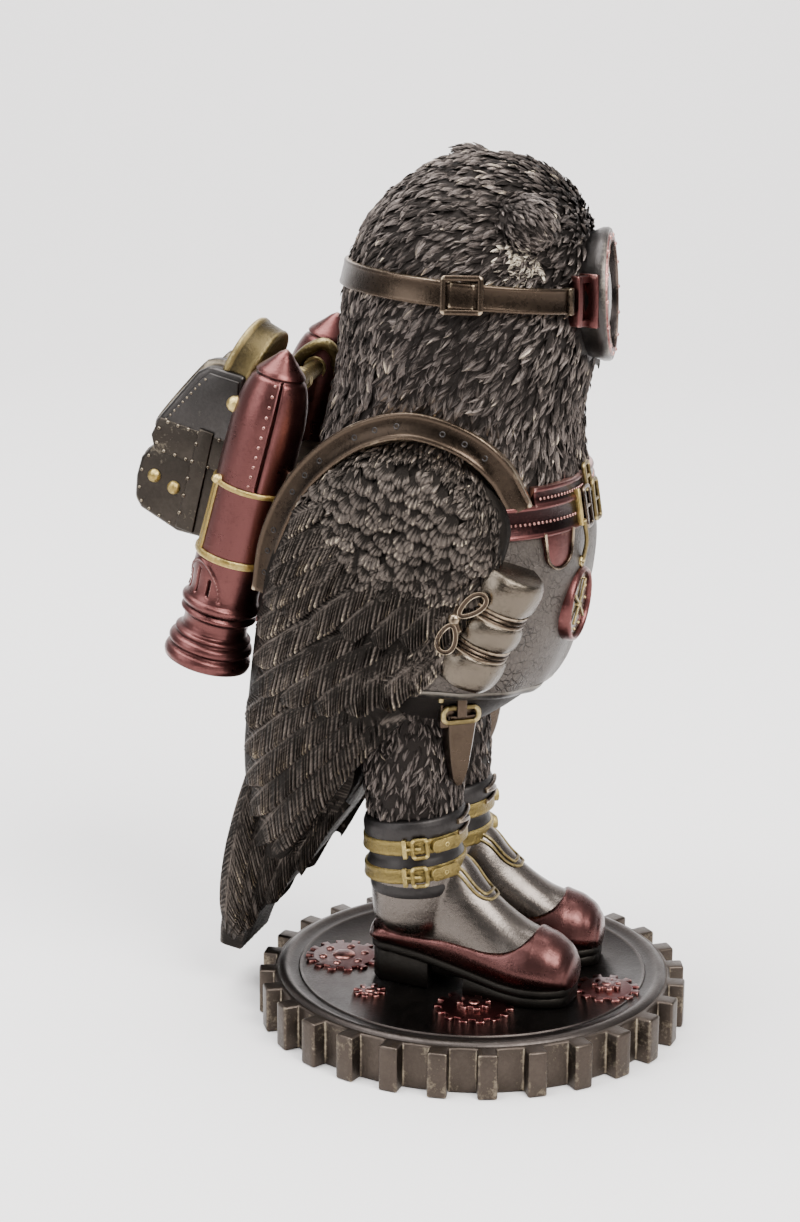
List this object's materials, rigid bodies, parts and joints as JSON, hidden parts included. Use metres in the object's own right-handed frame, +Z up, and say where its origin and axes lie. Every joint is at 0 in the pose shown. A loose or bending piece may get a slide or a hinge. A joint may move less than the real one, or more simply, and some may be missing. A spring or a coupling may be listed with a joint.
{
  "type": "steampunk owl sculpture",
  "caption": "Small cast owl sculpture in goggles, harness and boots with a jet pack on its back, standing on a round gear-shaped plinth.",
  "frame": {"origin": "centre of the plinth's flat underside", "axes": "+Z up; the owl's body faces -Y and its left side is +X"},
  "size_m": [0.082, 0.1057, 0.1638],
  "materials": {
    "plinth_bronze": "dark brown bronze with rubbed brass edges",
    "owl_bronze": "dark bronze wash, satin, with rubbed warm highlights",
    "copper_red": "glossy copper-red lacquer over metal, dark in the recesses",
    "worn_brass": "rubbed antique brass",
    "pewter": "polished grey-bronze pewter",
    "strap_bronze": "polished brown bronze straps"
  },
  "bodies": {
    "root": {"gear_plinth": "plinth_bronze", "owl_figure": "owl_bronze", "jet_pack": "copper_red"}
  },
  "joints": []
}
